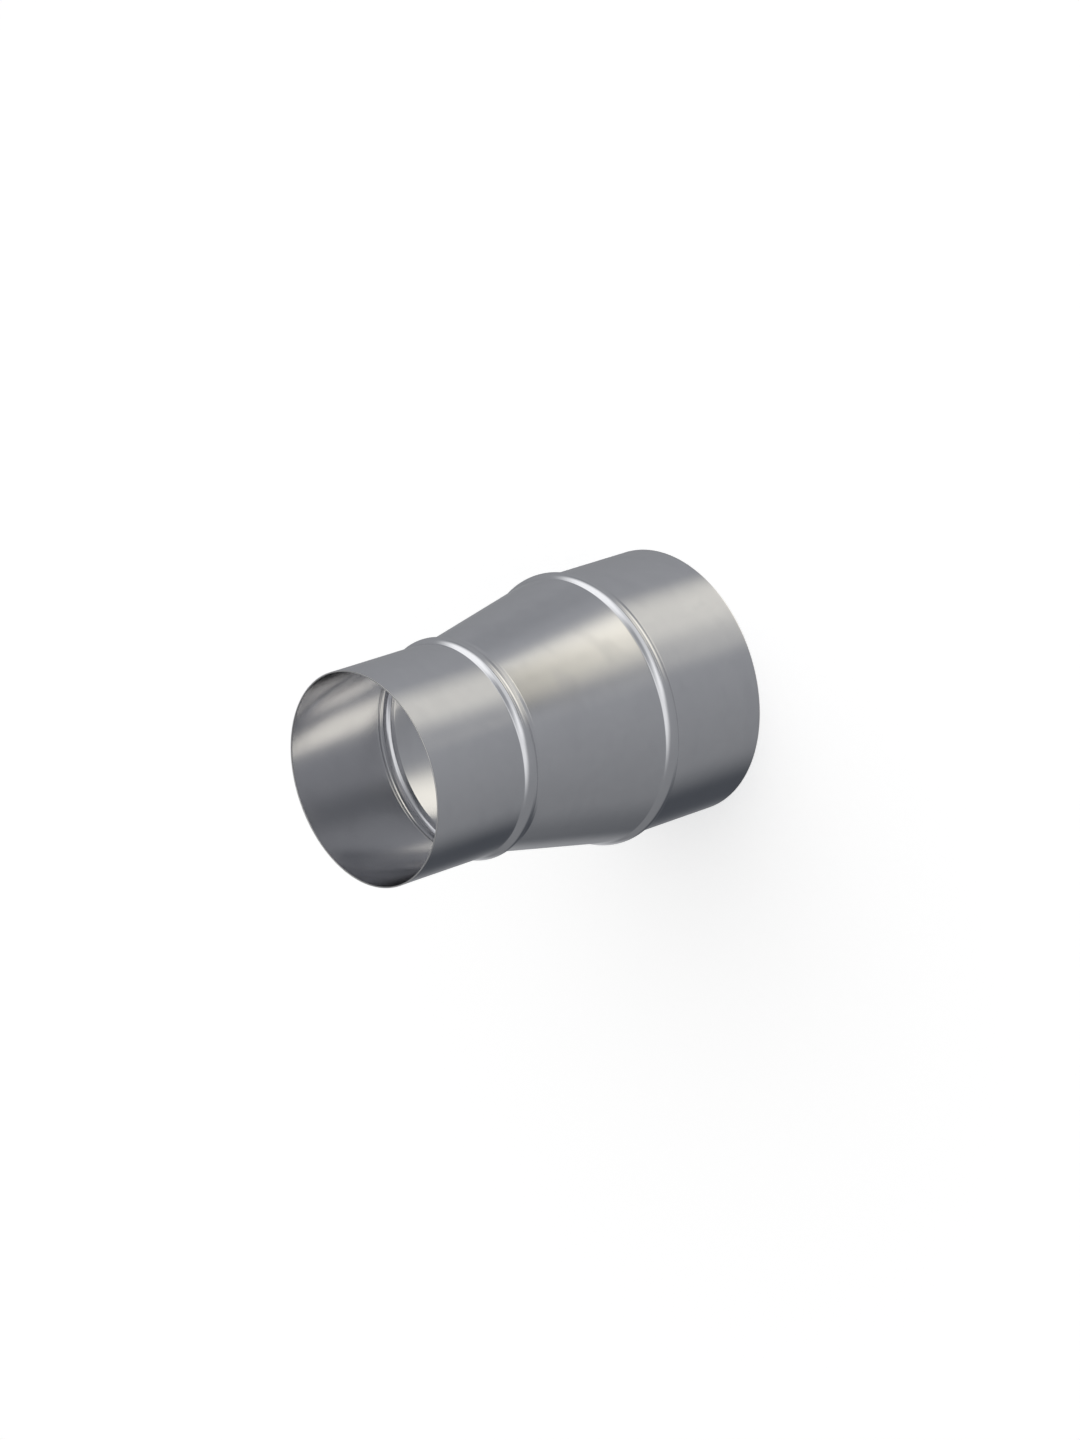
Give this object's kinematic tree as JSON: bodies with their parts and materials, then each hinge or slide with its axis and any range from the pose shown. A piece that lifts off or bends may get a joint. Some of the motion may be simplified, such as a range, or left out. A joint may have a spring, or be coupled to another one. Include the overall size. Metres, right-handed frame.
{
  "type": "duct reducer",
  "caption": "Concentric reducer in pressed sheet steel that joins a wide round air duct to a narrower one, with a plain spigot and a rolled stop bead at each end.",
  "frame": {"origin": "centre of the large spigot's rim, on which the reducer stands", "axes": "+Z along the reducer's axis, from the large end to the small end"},
  "size_m": [0.1276, 0.1276, 0.184],
  "materials": {
    "galvanised_sheet": "satin galvanised sheet with fine turned lines"
  },
  "bodies": {
    "root": {"reducer": "galvanised_sheet"}
  },
  "joints": []
}
